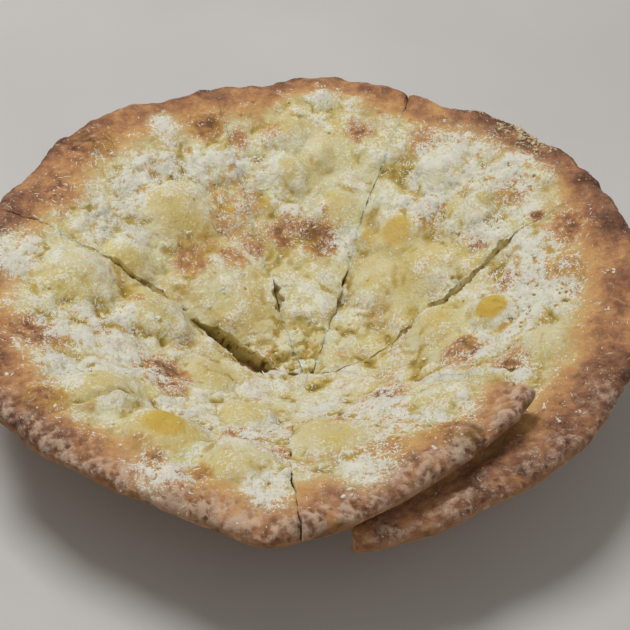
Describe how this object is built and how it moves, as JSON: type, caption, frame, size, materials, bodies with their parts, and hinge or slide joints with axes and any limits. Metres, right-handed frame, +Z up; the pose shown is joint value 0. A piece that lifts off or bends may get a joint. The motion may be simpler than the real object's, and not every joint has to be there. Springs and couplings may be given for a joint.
{
  "type": "focaccia",
  "caption": "Round cheese focaccia cut into wedge slices that keep the whole's shape, sagging like a shallow dish, with a browned rim, blistered top and grated cheese.",
  "frame": {"origin": "middle of the underside, at the bottom centre of the whole's box", "axes": "+Z up through the dish; the slice that has slid over its neighbour lies towards -Y, the uncut-looking back towards +Y"},
  "size_m": [0.3058, 0.311, 0.0695],
  "materials": {
    "browned_crust": "dry matte baked dough, brown at the rim and on the blisters, cream with melted cheese inside",
    "grated_cheese": "dry white and cream shreds and crumbs of grated cheese"
  },
  "bodies": {
    "root": {"slice_right": "browned_crust", "slice_back_right": "browned_crust", "slice_back": "browned_crust", "slice_back_left": "browned_crust", "slice_left": "browned_crust", "slice_front_left": "browned_crust", "slice_lifted": "browned_crust", "slice_front_right": "browned_crust"}
  },
  "joints": []
}
